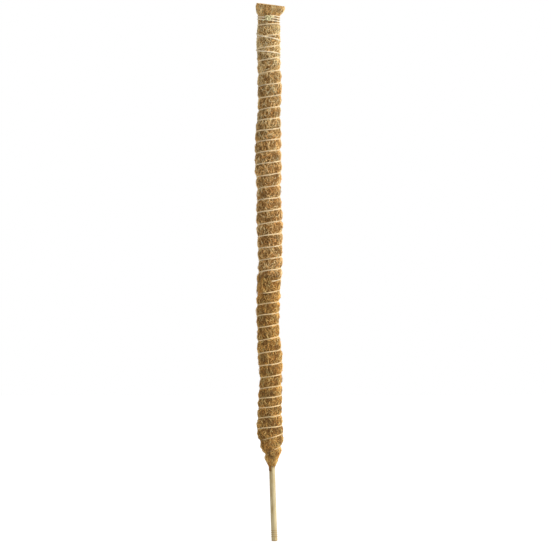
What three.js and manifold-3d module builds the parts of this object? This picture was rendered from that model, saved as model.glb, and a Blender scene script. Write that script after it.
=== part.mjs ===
import * as THREE from "three";
import { mergeVertices } from "three/addons/utils/BufferGeometryUtils.js";
import Module from "manifold-3d";

// Moss pole: coir packed round a bamboo cane and bound with twine. Sizes are in millimetres.
// The origin is the middle of the cane's cut foot. +Z runs up the pole and the front faces -Y.

// Cane
const CANE_DIAMETER = 9.8;
const BARE_CANE = 126; // from the cut foot up to the coir
const CANE_COVER = 28; // coir above the cane's upper end
const CANE_BOW = 9.2; // sideways lean of the cane, all of it below the bow's height
const CANE_BOW_HEIGHT = 480;
const FOOT_CHAMFER = 1.6;
const FOOT_RING_COUNT = 4;
const FOOT_RING_HEIGHT = 7.5; // lowest ring
const FOOT_RING_SPACING = 3.4;
const NODE_SPACING = 165; // bamboo nodes further up
const RING_RISE = 0.45;
const RING_WIDTH = 1.8;

// Coir
const COIR_LENGTH = 774;
const COIR_DIAMETER = 41; // over the bulges
const CORE_DIAMETER = 20;
const CORE_DISH = 2; // the core's top lies this far under the mat's top
const NECK_LENGTH = 65; // gathered lower end
const NECK_FULLNESS = 0.87; // power of the neck's curve: the smaller, the sooner it fills out
const NECK_WALL = 0.6; // coir round the cane at the very foot of the neck
const NECK_SOLID = 42; // height of the neck that has no core
const FLARE_DIAMETER = 48; // collar at the top
const COLLAR_HEIGHT = 22.8; // bare collar above the tie
const COLLAR_FULLNESS = 0.5; // power of the collar's curve: the smaller, the sooner it flares
const TOP_SLANT = 6.2; // fall of the cut top from the left edge to the right edge
const TOP_FRONT_FALL = 5; // its fall from the back edge to the front edge
const LAP_HEIGHT = 300; // where the lower mat laps over the upper one, above the coir's foot
const LAP_LENGTH = 16;
const LAP_DIAMETER = 26;
const BULGE = 2.8; // between two turns of twine
const NECK_BULGE = 4.5; // between the turns that gather the neck
const LACED_BULGE = 1.3; // where the tie's tail is laced across
const BULGE_UNEVENNESS = 0.3;
const BULGE_WAVE = 3.3; // in turns
const BULGE_FOOT = 8; // height above the coir's foot where the grooves start
const BULGE_RUN = 10; // height over which they reach their full depth
const LUMP = 0.5;
const LUMP_WAVE = 74;
const SWELL_LONG = 1.15; // uneven thickness along the pole
const SWELL_LONG_WAVE = 479;
const SWELL_LONG_ZERO = 476;
const SWELL_MIDDLE = 0.57;
const SWELL_MIDDLE_WAVE = 161;
const SWELL_MIDDLE_ZERO = 134;
const SWELL_SHORT = 0.53;
const SWELL_SHORT_WAVE = 115;
const SWELL_SHORT_ZERO = 42;
const SWAY_LONG = 1.05; // side to side
const SWAY_LONG_WAVE = 356;
const SWAY_LONG_ZERO = 50;
const SWAY_MIDDLE = 1.42;
const SWAY_MIDDLE_WAVE = 205;
const SWAY_MIDDLE_ZERO = 44;
const SWAY_SHORT = 1.09;
const SWAY_SHORT_WAVE = 166;
const SWAY_SHORT_ZERO = 64;
const SWAY_DEPTH = 1.2; // front to back
const SWAY_DEPTH_WAVE = 310;
const TIE_PULL = 1; // the tie draws the coir to the left
const COLLAR_LEAN = 0.8; // and the collar above it leans to the right

// Twine
const TWINE_DIAMETER = 2.2;
const TURN_PITCH = 19.24;
const WINDING_FOOT = 6.4; // height of turn zero above the coir's foot
const LEAD_IN = 0.4375; // the twine starts at this share of turn zero, behind the pole
const LAP_TWINE = 7; // height above the lap's foot at which the upper length starts
const LAP_GAP = 0.375; // turns between the end of the lower length and that start
const LAST_PITCH = 5; // the upper length flattens out under the tie
const LAST_TURNS = 0.5;
const FRONT_EASE = 0.8; // the turns lie flatter across the front than across the back
const NECK_EASE = -1.2; // but not in the neck, where the front is the steeper side
const TOP_LIFT = 8; // rise of the last turn towards the tie
const TOP_LIFT_RUN = 30;
const NECK_LIFT = 3.6; // rise of the turns in the neck
const DRIFT_LONG = 2; // uneven spacing of the turns
const DRIFT_LONG_WAVE = 34; // in turns
const DRIFT_LONG_ZERO = 19.3;
const DRIFT_MIDDLE = 3.3;
const DRIFT_MIDDLE_WAVE = 10.5;
const DRIFT_MIDDLE_ZERO = 0.9;
const DRIFT_SHORT = 2.2;
const DRIFT_SHORT_WAVE = 8.73;
const DRIFT_SHORT_ZERO = 0.06;
const TIE_DIAMETER = 36; // coir under the tie
const TIE_SHOULDER = 9; // height over which the coir swells out again below the tie
const TIE_TURNS = 2.25;
const TIE_GAP = 1.8; // between two turns of the tie
const TIE_SLANT = 1.5; // it lies this much higher on the left, and lower on the right
const LACE_PITCH = 22.3; // the tie's tail, which winds down the other way
const LACE_EASE = 3.7; // it falls further across the back than across the front
const LACE_DROP = 11; // extra fall over its first turn
const LACE_TURNS = 2.25;
const KNOT_WIDTH = 13;
const KNOT_HEIGHT = 9.5;
const KNOT_DEPTH = 5;
const KNOT_TAIL = 10;

// Clearances
const FIT_GAP = 0.3; // between the cane, the core and the mats
const SEAT_GAP = 0.3; // between the twine and what it lies on
const CROSS_GAP = 0.6; // between two twines where they cross

// Fineness
const STEPS_PER_TURN = 16;
const TWINE_SIDES = 5;
const ROWS_PER_TURN = 4;
const ROUND_SIDES = 16;
const BEND_STEP = 60;
const SPARE_TURNS = 3; // coir made past both ends, then cut off
const CUT_MARGIN = 10;

const { clamp, lerp, smoothstep } = THREE.MathUtils;
const wasm = await Module();
wasm.setup();

// Heights and radii that follow from these
const COIR_FOOT = BARE_CANE;
const COIR_TOP = COIR_FOOT + COIR_LENGTH;
const CANE_TOP = COIR_TOP - CANE_COVER;
const CORE_FOOT = COIR_FOOT + NECK_SOLID;
const LAP_FOOT = COIR_FOOT + LAP_HEIGHT;
const CANE_RADIUS = CANE_DIAMETER / 2;
const CORE_RADIUS = CORE_DIAMETER / 2;
const BORE_RADIUS = CANE_RADIUS + RING_RISE + FIT_GAP;
const NECK_RADIUS = BORE_RADIUS + NECK_WALL;
const TIE_RADIUS = TIE_DIAMETER / 2;
const FLARE_RADIUS = FLARE_DIAMETER / 2;
const LAP_RADIUS = LAP_DIAMETER / 2;
const TWINE_RADIUS = TWINE_DIAMETER / 2;
const TIE_PITCH = TWINE_DIAMETER + TIE_GAP;
const TIE_TOP = COIR_TOP - COLLAR_HEIGHT;
const TIE_FOOT = TIE_TOP - TIE_TURNS * TIE_PITCH;
const LACE_FOOT = tieHeight(LACE_TURNS);
const SPARE_WIDTH = 2 * (COIR_DIAMETER + FLARE_DIAMETER);
const SPARE_LENGTH = 2 * SPARE_TURNS * TURN_PITCH;
const FRONT_STEP = (STEPS_PER_TURN * 3) / 4;
const HALF_STEP = 0.5 / STEPS_PER_TURN; // in turns
const SLANT_ANGLE = Math.atan2(TOP_SLANT, FLARE_DIAMETER);
const FRONT_FALL_ANGLE = Math.atan2(TOP_FRONT_FALL, FLARE_DIAMETER);
const TOP_MIDDLE = COIR_TOP - Math.hypot(TOP_SLANT, TOP_FRONT_FALL) / 2;

// Shared shape of the pole

function wave(at, length, zero) {
  return Math.sin((2 * Math.PI * (at - zero)) / length);
}

function caneX(z) {
  const share = clamp(1 - z / CANE_BOW_HEIGHT, 0, 1);
  return -CANE_BOW * (1 - share * share);
}

function coirAxis(z) {
  const fade = smoothstep(z, COIR_FOOT, COIR_FOOT + NECK_LENGTH);
  const across =
    SWAY_LONG * wave(z, SWAY_LONG_WAVE, SWAY_LONG_ZERO) +
    SWAY_MIDDLE * wave(z, SWAY_MIDDLE_WAVE, SWAY_MIDDLE_ZERO) +
    SWAY_SHORT * wave(z, SWAY_SHORT_WAVE, SWAY_SHORT_ZERO);
  const pulled = smoothstep(z, TIE_FOOT - TIE_SHOULDER, TIE_FOOT);
  const leaning = smoothstep(z, TIE_TOP, TIE_TOP + TIE_SHOULDER);
  const lean = lerp(-TIE_PULL * pulled, COLLAR_LEAN, leaning);
  const depth = SWAY_DEPTH * wave(z, SWAY_DEPTH_WAVE, 0);
  return new THREE.Vector3(caneX(z) + fade * across + lean, fade * depth, z);
}

function girth(z) {
  const full =
    COIR_DIAMETER / 2 +
    SWELL_LONG * wave(z, SWELL_LONG_WAVE, SWELL_LONG_ZERO) +
    SWELL_MIDDLE * wave(z, SWELL_MIDDLE_WAVE, SWELL_MIDDLE_ZERO) +
    SWELL_SHORT * wave(z, SWELL_SHORT_WAVE, SWELL_SHORT_ZERO);
  const neckShare = clamp((z - COIR_FOOT) / NECK_LENGTH, 0, 1);
  const body = NECK_RADIUS + (full - NECK_RADIUS) * Math.sin((neckShare ** NECK_FULLNESS * Math.PI) / 2);
  const tieLow = TIE_FOOT - TWINE_DIAMETER;
  const tieHigh = TIE_TOP + TWINE_DIAMETER;
  const drawnIn = lerp(TIE_RADIUS, body, smoothstep(tieLow - z, 0, TIE_SHOULDER));
  const collarShare = clamp((z - tieHigh) / (COIR_TOP - tieHigh), 0, 1);
  const flare = Math.sin((collarShare ** COLLAR_FULLNESS * Math.PI) / 2);
  return drawnIn + (FLARE_RADIUS - TIE_RADIUS) * flare;
}

// The main winding climbs to the right across the front. Turns are counted from its foot.
function windingHeight(turn) {
  const drift =
    DRIFT_LONG * wave(turn, DRIFT_LONG_WAVE, DRIFT_LONG_ZERO) +
    DRIFT_MIDDLE * wave(turn, DRIFT_MIDDLE_WAVE, DRIFT_MIDDLE_ZERO) +
    DRIFT_SHORT * wave(turn, DRIFT_SHORT_WAVE, DRIFT_SHORT_ZERO);
  const even = COIR_FOOT + WINDING_FOOT + TURN_PITCH * turn;
  const topShare = smoothstep(even, TIE_FOOT - TOP_LIFT_RUN, TIE_FOOT);
  const neckShare = 1 - smoothstep(even, COIR_FOOT + (2 * NECK_LENGTH) / 3, COIR_FOOT + NECK_LENGTH);
  const ease = lerp(FRONT_EASE, NECK_EASE, neckShare);
  const lift = TOP_LIFT * topShare + NECK_LIFT * neckShare;
  return even + drift + lift - ease * Math.cos(2 * Math.PI * turn);
}

// Height of the tie and of its tail, by the turns made since the close turns ended
function tieHeight(turns) {
  const side = Math.cos(2 * Math.PI * turns);
  const slanted = TIE_FOOT - TIE_SLANT * side * (1 - smoothstep(turns, 0, 0.5));
  if (turns <= 0) {
    return slanted - TIE_PITCH * turns;
  }
  const ease = (LACE_EASE * (1 - side)) / 2;
  return slanted - LACE_PITCH * turns - ease - LACE_DROP * smoothstep(turns, 0, 1);
}

function bulgeDepth(turn, z) {
  const uneven = 1 + BULGE_UNEVENNESS * wave(turn, BULGE_WAVE, 0);
  const laced = smoothstep(z, LACE_FOOT - TURN_PITCH, LACE_FOOT);
  const tied = 1 - smoothstep(z, TIE_FOOT - TIE_SHOULDER - TWINE_DIAMETER, TIE_FOOT - TWINE_DIAMETER);
  const gathered = smoothstep(z - COIR_FOOT - BULGE_FOOT, 0, BULGE_RUN);
  const necked = 1 - smoothstep(z, COIR_FOOT + NECK_LENGTH / 2, COIR_FOOT + NECK_LENGTH);
  const depth = lerp(lerp(BULGE, LACED_BULGE, laced), NECK_BULGE, necked);
  return uneven * depth * tied * gathered;
}

function coirRadius(angle, turn, share, z) {
  const crown = Math.sqrt(Math.sin(Math.PI * share));
  const groove = bulgeDepth(turn, z) * (1 - crown);
  const loose = smoothstep(TIE_FOOT - z, 0, TIE_SHOULDER) * smoothstep(z - COIR_FOOT, 0, NECK_LENGTH);
  const lump = LUMP * loose * Math.sin(2 * angle + wave(z, LUMP_WAVE, 0));
  return girth(z) - groove + lump;
}

function placed(angle, radius, z) {
  const point = coirAxis(z);
  point.x += radius * Math.cos(angle);
  point.y += radius * Math.sin(angle);
  return point;
}

function stepAngle(step) {
  return (2 * Math.PI * step) / STEPS_PER_TURN;
}

function wrapped(step) {
  return ((step % STEPS_PER_TURN) + STEPS_PER_TURN) % STEPS_PER_TURN;
}

// The coir's outside: one line of points up the pole for each angle step, whose rows follow the winding
const firstTurn = -Math.ceil(WINDING_FOOT / TURN_PITCH) - SPARE_TURNS;
const lastTurn = Math.ceil((COIR_LENGTH - WINDING_FOOT) / TURN_PITCH) + SPARE_TURNS;
const lastRow = (lastTurn - firstTurn) * ROWS_PER_TURN;
const columns = [];
for (let step = 0; step < STEPS_PER_TURN; step++) {
  const column = [];
  for (let row = 0; row <= lastRow; row++) {
    const turn = firstTurn + Math.floor(row / ROWS_PER_TURN) + step / STEPS_PER_TURN;
    const share = (row % ROWS_PER_TURN) / ROWS_PER_TURN;
    const z = lerp(windingHeight(turn), windingHeight(turn + 1), share);
    column.push({ z, radius: coirRadius(stepAngle(step), turn + share, share, z) });
  }
  columns.push(column);
}

// Radius at which the middle of a twine lies when it rests on the coir at one angle step
function seatRadius(step, z) {
  const reach = TWINE_RADIUS + SEAT_GAP;
  const column = columns[wrapped(step)];
  let seat = 0;
  for (let row = 1; row < column.length; row++) {
    const low = column[row - 1];
    const high = column[row];
    if (high.z >= z - reach && low.z <= z + reach) {
      const slope = (high.radius - low.radius) / (high.z - low.z);
      const level = low.radius + slope * (z - low.z);
      seat = Math.max(seat, level + reach * Math.hypot(1, slope));
    }
  }
  return seat;
}

// Solids

function solidFrom(geometry) {
  const bare = geometry.clone();
  bare.deleteAttribute("normal");
  bare.deleteAttribute("uv");
  const merged = mergeVertices(bare);
  return new wasm.Manifold(
    new wasm.Mesh({
      numProp: 3,
      vertProperties: new Float32Array(merged.attributes.position.array),
      triVerts: new Uint32Array(merged.index.array),
    })
  );
}

function geometryFrom(solid) {
  const mesh = solid.getMesh();
  const geometry = new THREE.BufferGeometry();
  geometry.setAttribute("position", new THREE.BufferAttribute(mesh.vertProperties, 3));
  geometry.setIndex(new THREE.BufferAttribute(mesh.triVerts, 1));
  geometry.computeVertexNormals();
  return geometry;
}

function geometryOf(points, triangles) {
  const geometry = new THREE.BufferGeometry();
  geometry.setFromPoints(points);
  geometry.setIndex(triangles);
  geometry.computeVertexNormals();
  return geometry;
}

// A turned piece, bent to the cane's bow. The profile is a list of [radius, height] from the foot up.
function bentLathe(profile) {
  const outline = profile.map(([radius, z]) => new THREE.Vector2(radius, z));
  const geometry = new THREE.LatheGeometry(outline, ROUND_SIDES);
  geometry.rotateX(Math.PI / 2);
  const position = geometry.attributes.position;
  for (let i = 0; i < position.count; i++) {
    position.setX(i, position.getX(i) + caneX(position.getZ(i)));
  }
  return geometry;
}

function bentRod(radius, foot, top) {
  const profile = [[0, foot]];
  const pieces = Math.max(1, Math.ceil((top - foot) / BEND_STEP));
  for (let i = 0; i <= pieces; i++) {
    profile.push([radius, lerp(foot, top, i / pieces)]);
  }
  profile.push([0, top]);
  return bentLathe(profile);
}

function caneGeometry() {
  const ringHeights = [];
  for (let i = 0; i < FOOT_RING_COUNT; i++) {
    ringHeights.push(FOOT_RING_HEIGHT + i * FOOT_RING_SPACING);
  }
  const lastFootRing = ringHeights[FOOT_RING_COUNT - 1];
  for (let z = lastFootRing + NODE_SPACING; z < CANE_TOP - NODE_SPACING / 2; z += NODE_SPACING) {
    ringHeights.push(z);
  }
  const profile = [
    [0, 0],
    [CANE_RADIUS - FOOT_CHAMFER, 0],
    [CANE_RADIUS, FOOT_CHAMFER],
  ];
  let below = FOOT_CHAMFER;
  for (const z of ringHeights) {
    const pieces = Math.ceil((z - RING_WIDTH / 2 - below) / BEND_STEP);
    for (let i = 1; i < pieces; i++) {
      profile.push([CANE_RADIUS, lerp(below, z - RING_WIDTH / 2, i / pieces)]);
    }
    profile.push([CANE_RADIUS, z - RING_WIDTH / 2]);
    profile.push([CANE_RADIUS + RING_RISE, z]);
    profile.push([CANE_RADIUS, z + RING_WIDTH / 2]);
    below = z + RING_WIDTH / 2;
  }
  const pieces = Math.ceil((CANE_TOP - below) / BEND_STEP);
  for (let i = 1; i <= pieces; i++) {
    profile.push([CANE_RADIUS, lerp(below, CANE_TOP, i / pieces)]);
  }
  profile.push([0, CANE_TOP]);
  return bentLathe(profile);
}

// The coir as one rod with the winding's grooves, longer than the pole at both ends
function coirRod() {
  const points = [];
  for (let step = 0; step < STEPS_PER_TURN; step++) {
    for (const { z, radius } of columns[step]) {
      points.push(placed(stepAngle(step), radius, z));
    }
  }
  const rows = lastRow + 1;
  const at = (step, row) => step * rows + row;
  const triangles = [];
  for (let step = 0; step < STEPS_PER_TURN; step++) {
    const seam = step === STEPS_PER_TURN - 1;
    const next = seam ? 0 : step + 1;
    const climb = seam ? ROWS_PER_TURN : 0;
    for (let row = 0; row + climb < lastRow; row++) {
      const a = at(step, row);
      const b = at(next, row + climb);
      triangles.push(a, b, a + 1, b, b + 1, a + 1);
    }
  }
  const footRim = [];
  const topRim = [];
  for (let step = 0; step < STEPS_PER_TURN; step++) {
    footRim.push(at(step, 0));
    topRim.push(at(step, lastRow));
  }
  for (let row = ROWS_PER_TURN; row > 0; row--) {
    footRim.push(at(0, row));
    topRim.push(at(STEPS_PER_TURN - 1, lastRow - 1 - ROWS_PER_TURN + row));
  }
  const footMiddle = points.push(coirAxis(columns[0][0].z)) - 1;
  const topMiddle = points.push(coirAxis(columns[0][lastRow].z)) - 1;
  footRim.forEach((corner, i) => {
    triangles.push(footMiddle, footRim[(i + 1) % footRim.length], corner);
  });
  topRim.forEach((corner, i) => {
    triangles.push(topMiddle, corner, topRim[(i + 1) % topRim.length]);
  });
  return geometryOf(points, triangles);
}

// A block that takes off all that lies above the slanted cut of the top, lowered by a given depth
function topCut(depth) {
  const block = new THREE.BoxGeometry(SPARE_WIDTH, SPARE_WIDTH, SPARE_LENGTH);
  block.translate(0, 0, SPARE_LENGTH / 2);
  block.rotateY(SLANT_ANGLE);
  block.rotateX(FRONT_FALL_ANGLE);
  const middle = coirAxis(COIR_TOP);
  block.translate(middle.x, middle.y, TOP_MIDDLE - depth);
  return solidFrom(block);
}

// A block that takes off all that lies below the coir's foot
function footCut() {
  const block = new THREE.BoxGeometry(SPARE_WIDTH, SPARE_WIDTH, SPARE_LENGTH);
  block.translate(coirAxis(COIR_FOOT).x, 0, COIR_FOOT - SPARE_LENGTH / 2);
  return solidFrom(block);
}

// The room of the upper mat: a tongue inside the lap and everything above the lap
function upperRoom(gap) {
  const lapTop = LAP_FOOT + LAP_LENGTH + gap;
  const profile = [
    [0, LAP_FOOT + gap],
    [LAP_RADIUS - gap, LAP_FOOT + gap],
    [LAP_RADIUS - gap, lapTop],
    [SPARE_WIDTH, lapTop],
    [SPARE_WIDTH, COIR_TOP + CUT_MARGIN],
    [0, COIR_TOP + CUT_MARGIN],
  ];
  return solidFrom(bentLathe(profile));
}

// A tube of twine through a list of points
function twineGeometry(path) {
  const points = [];
  const triangles = [];
  const last = path.length - 1;
  path.forEach((middle, i) => {
    const along = path[Math.min(i + 1, last)].clone().sub(path[Math.max(i - 1, 0)]).normalize();
    const out = middle.clone().sub(coirAxis(middle.z));
    out.addScaledVector(along, -out.dot(along)).normalize();
    const aside = along.clone().cross(out);
    for (let side = 0; side < TWINE_SIDES; side++) {
      const angle = (2 * Math.PI * side) / TWINE_SIDES;
      const corner = middle.clone();
      corner.addScaledVector(out, TWINE_RADIUS * Math.cos(angle));
      corner.addScaledVector(aside, TWINE_RADIUS * Math.sin(angle));
      points.push(corner);
    }
  });
  for (let i = 0; i < last; i++) {
    for (let side = 0; side < TWINE_SIDES; side++) {
      const a = i * TWINE_SIDES + side;
      const b = i * TWINE_SIDES + ((side + 1) % TWINE_SIDES);
      triangles.push(a, b, b + TWINE_SIDES, a, b + TWINE_SIDES, a + TWINE_SIDES);
    }
  }
  for (let side = 1; side < TWINE_SIDES - 1; side++) {
    const end = last * TWINE_SIDES;
    triangles.push(0, side + 1, side, end, end + side, end + side + 1);
  }
  return geometryOf(points, triangles);
}

// Lets both ends of a path run straight on for one twine diameter
function withStraightEnds(path) {
  const last = path.length - 1;
  const before = path[0].clone().sub(path[1]).setLength(TWINE_DIAMETER).add(path[0]);
  const after = path[last].clone().sub(path[last - 1]).setLength(TWINE_DIAMETER).add(path[last]);
  return [before, ...path, after];
}

// Least gap between different turns of one twine, measured between its points
function leastSelfGap(path) {
  let least = Infinity;
  for (let i = 0; i < path.length; i++) {
    for (let j = i + STEPS_PER_TURN / 2; j < path.length; j++) {
      least = Math.min(least, path[i].distanceTo(path[j]) - TWINE_DIAMETER);
    }
  }
  return least;
}

// Routes of the twine

function windingSteps(height) {
  let steps = 0;
  while (windingHeight(steps / STEPS_PER_TURN) < height) {
    steps++;
  }
  return steps;
}

// Where the main winding crosses each angle step
const windingSeats = Array.from({ length: STEPS_PER_TURN }, () => []);

function windingPath(firstStep, straightStep, lastStep) {
  const path = [];
  for (let step = firstStep; step <= lastStep; step++) {
    const flat = Math.max(0, step - straightStep) / STEPS_PER_TURN;
    const z = windingHeight(Math.min(step, straightStep) / STEPS_PER_TURN) + LAST_PITCH * flat;
    const radius = seatRadius(step, z);
    windingSeats[wrapped(step)].push({ z, radius });
    path.push(placed(stepAngle(step), radius, z));
  }
  return withStraightEnds(path);
}

const lapStep = windingSteps(LAP_FOOT + LAP_TWINE);
const lapGapSteps = Math.round(LAP_GAP * STEPS_PER_TURN);
const lastSteps = Math.round(LAST_TURNS * STEPS_PER_TURN);
const straightStep = windingSteps(TIE_FOOT - TIE_PITCH - LAST_PITCH * LAST_TURNS) - 1;
const lowerPath = windingPath(Math.round(LEAD_IN * STEPS_PER_TURN), lapStep, lapStep - lapGapSteps);
const upperPath = windingPath(lapStep, straightStep, straightStep + lastSteps);

// Radius at which the tie lies, over the coir of the steps beside it as well
function tieSeat(step, z) {
  return Math.max(seatRadius(step - 1, z), seatRadius(step, z), seatRadius(step + 1, z));
}

// The knot lies on the front of the tie, over its turns
const knotZ = (TIE_TOP + TIE_FOOT) / 2;
const knotSeat = Math.max(...[TIE_TOP, knotZ, TIE_FOOT].map((z) => tieSeat(FRONT_STEP, z)));
const knotRadius = knotSeat + TWINE_RADIUS + SEAT_GAP + KNOT_DEPTH / 2;

// Radius at which the lacing rests on the coir, or on the main winding where it crosses that
function overRadius(step, z, fall) {
  const crossing = fall + TURN_PITCH / STEPS_PER_TURN + TWINE_RADIUS;
  let over = Math.max(seatRadius(step, z - fall / 2), seatRadius(step, z), seatRadius(step, z + fall / 2));
  for (const seat of windingSeats[wrapped(step)]) {
    if (Math.abs(seat.z - z) < crossing) {
      over = Math.max(over, seat.radius + TWINE_DIAMETER + CROSS_GAP);
    }
  }
  return over;
}

// The tie leaves the knot, winds down the other way in close turns, then in open ones over the winding
function tiePath() {
  const start = placed(stepAngle(FRONT_STEP), knotRadius, knotZ);
  start.x += KNOT_WIDTH / 2 + SEAT_GAP;
  const path = [start, start.clone().setX(start.x + TWINE_DIAMETER)];
  const tieSteps = Math.round(TIE_TURNS * STEPS_PER_TURN);
  const laceSteps = Math.round(LACE_TURNS * STEPS_PER_TURN);
  const rampSteps = STEPS_PER_TURN / 4;
  for (let i = 2; i <= tieSteps + laceSteps; i++) {
    const step = FRONT_STEP + i;
    const turns = (i - tieSteps) / STEPS_PER_TURN;
    const z = tieHeight(turns);
    const fall = tieHeight(turns - HALF_STEP) - tieHeight(turns + HALF_STEP);
    const seat = tieSeat(step, z);
    const offKnot = lerp(knotRadius, seat, clamp((i - 1) / (rampSteps - 1), 0, 1));
    const lift = clamp((i - tieSteps + rampSteps) / rampSteps, 0, 1);
    const radius = i < tieSteps - rampSteps ? offKnot : lerp(seat, overRadius(step, z, fall), lift);
    path.push(placed(stepAngle(step), radius, z));
  }
  return path;
}

function knotTail(side) {
  const path = new THREE.CatmullRomCurve3([
    new THREE.Vector3(0, 0, 0),
    new THREE.Vector3(side * KNOT_TAIL * 0.5, 0, -KNOT_HEIGHT / 4),
    new THREE.Vector3(side * KNOT_TAIL, -TWINE_RADIUS, -KNOT_HEIGHT / 2),
  ]);
  const section = new THREE.Shape();
  section.absarc(0, 0, TWINE_RADIUS * 0.9, 0, 2 * Math.PI);
  return new THREE.ExtrudeGeometry(section, { steps: 5, curveSegments: 4, extrudePath: path });
}

// The knot: a lump with two crossed loops over it and one short tail
function knotGeometry() {
  const halfWidth = (KNOT_WIDTH - TWINE_RADIUS) / 2;
  const halfDepth = (KNOT_DEPTH - TWINE_RADIUS) / 2;
  const halfHeight = (KNOT_HEIGHT - TWINE_RADIUS) / 2;
  const lump = new THREE.SphereGeometry(1, 12, 8);
  lump.scale(halfWidth, halfDepth, halfHeight);
  let knot = solidFrom(lump);
  for (const lean of [-1, 1]) {
    const loop = new THREE.TorusGeometry(1, TWINE_RADIUS / KNOT_HEIGHT, 5, 14);
    loop.rotateY(Math.PI / 2);
    loop.scale(halfWidth - TWINE_RADIUS / 2, halfDepth, halfHeight);
    loop.rotateY((lean * Math.PI) / 5);
    knot = knot.add(solidFrom(loop));
  }
  return geometryFrom(knot.add(solidFrom(knotTail(-1))));
}

// Pieces

function piece(name, geometry, color, roughness) {
  const material = new THREE.MeshStandardMaterial({ color, roughness, metalness: 0 });
  const mesh = new THREE.Mesh(geometry, material);
  mesh.name = name;
  return mesh;
}

const caneBore = solidFrom(bentRod(BORE_RADIUS, COIR_FOOT - CUT_MARGIN, CANE_TOP + FIT_GAP));
const coreBody = solidFrom(bentRod(CORE_RADIUS, CORE_FOOT, COIR_TOP + CUT_MARGIN));
const coreRoom = solidFrom(bentRod(CORE_RADIUS + FIT_GAP, CORE_FOOT - FIT_GAP, COIR_TOP + CUT_MARGIN));
const coirRoom = solidFrom(coirRod()).subtract(topCut(0)).subtract(footCut());
const coir = coirRoom.subtract(coreRoom).subtract(caneBore);
const core = coreBody.subtract(topCut(CORE_DISH)).subtract(caneBore);
const tie = tiePath();

const knot = piece("top_knot", knotGeometry(), 0xe3d9ae, 0.85);
knot.position.copy(placed(stepAngle(FRONT_STEP), knotRadius, knotZ));

const pole = new THREE.Group();
pole.name = "moss_pole";
pole.add(piece("bamboo_cane", caneGeometry(), 0xcdb98c, 0.55));
pole.add(piece("coir_core", geometryFrom(core), 0x7d5a35, 0.95));
pole.add(piece("lower_coir_mat", geometryFrom(coir.subtract(upperRoom(0))), 0xa4784a, 0.95));
pole.add(piece("upper_coir_mat", geometryFrom(coir.intersect(upperRoom(FIT_GAP))), 0xae8250, 0.95));
pole.add(piece("lower_twine", twineGeometry(lowerPath), 0xdcbf90, 0.9));
pole.add(piece("upper_twine", twineGeometry(upperPath), 0xdcbf90, 0.9));
pole.add(piece("top_tie", twineGeometry(tie), 0xe0c79a, 0.9));
pole.add(knot);

for (const [name, path] of [["lower_twine", lowerPath], ["upper_twine", upperPath], ["top_tie", tie]]) {
  console.log(name, "least gap to itself", leastSelfGap(path).toFixed(2), "mm");
}

export default pole;
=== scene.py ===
import math

import bpy
import numpy as np
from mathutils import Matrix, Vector


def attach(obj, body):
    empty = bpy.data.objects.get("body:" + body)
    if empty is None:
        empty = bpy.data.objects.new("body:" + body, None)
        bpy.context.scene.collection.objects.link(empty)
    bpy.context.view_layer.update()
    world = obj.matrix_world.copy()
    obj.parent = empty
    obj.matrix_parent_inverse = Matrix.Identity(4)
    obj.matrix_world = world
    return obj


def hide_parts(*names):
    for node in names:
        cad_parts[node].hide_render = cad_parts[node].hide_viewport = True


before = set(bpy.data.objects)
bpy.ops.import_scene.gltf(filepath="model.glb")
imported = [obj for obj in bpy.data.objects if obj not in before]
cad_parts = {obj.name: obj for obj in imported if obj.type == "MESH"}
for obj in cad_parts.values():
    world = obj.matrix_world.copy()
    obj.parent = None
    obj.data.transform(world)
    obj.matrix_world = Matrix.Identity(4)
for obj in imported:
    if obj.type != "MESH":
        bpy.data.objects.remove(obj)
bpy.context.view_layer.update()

# Moss pole: coir packed round a bamboo cane and bound with twine.
# Sizes are in millimetres up to the making of each mesh. The origin is the middle of the cane's foot.

MM = 0.001
TAU = 2 * math.pi
FRONT = 0.75 * TAU  # angle of the side that faces -Y
SEED = 20
rng = np.random.default_rng(SEED)

# Cane
CANE_RADIUS = 4.9
CANE_BOW = 9.2
CANE_BOW_HEIGHT = 480
CANE_COVER = 28
CANE_OVAL = 0.012  # shares of the radius by which the cane is out of round
CANE_TWIST = 0.01
CANE_LOBES = 0.006
LOBE_COUNT = 5
LOBE_TURN = 1
FOOT_CHAMFER = 1.6
FOOT_HOLLOW = [(1.1, 1.6), (1.5, 0.4)]  # radius and height of the hollow in the cut foot
FOOT_RIM = 0.4
CHAMFER_SHARES = np.linspace(0.1, 0.95, 5)
FOOT_RING_COUNT = 4
FOOT_RING_HEIGHT = 7.5
FOOT_RING_SPACING = 3.4
NODE_SPACING = 165
RING_RISE = 0.45
RING_WIDTH = 1.8
RING_SHARPNESS = 8
GROOVE_DEPTH = 0.25  # of the grooves on both sides of a ring
GROOVE_PLACE = 0.6
GROOVE_SHARPNESS = 30
STAINED_CHAMFER = 0.8  # shares of the chamfer and of a ring that are stained
STAINED_RING = 0.3

# Coir
COIR_FOOT = 126
COIR_TOP = 900
CANE_TOP = COIR_TOP - CANE_COVER
COIR_RADIUS = 20.5
CORE_FOOT = 168
CORE_RADIUS = 10
CORE_DISH = 2
BORE_RADIUS = 5.65
NECK_LENGTH = 65
NECK_FULLNESS = 0.87
NECK_RADIUS = 6.25
TIE_RADIUS = 18
TIE_SHOULDER = 9
FLARE_RADIUS = 24
COLLAR_HEIGHT = 22.8
COLLAR_FULLNESS = 0.5
TOP_SLANT = 6.2
TOP_FRONT_FALL = 5
TOP_MIDDLE = COIR_TOP - math.hypot(TOP_SLANT, TOP_FRONT_FALL) / 2
COLLAR_END = COIR_TOP - TOP_SLANT - TOP_FRONT_FALL
LAP_FOOT = 426
LAP_TOP = 442
LAP_RADIUS = 13
FIT_GAP = 0.3
BULGE = 2.8
NECK_BULGE = 4.5
LACED_BULGE = 1.3
BULGE_UNEVENNESS = 0.3
BULGE_WAVE = 3.3  # in turns
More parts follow.
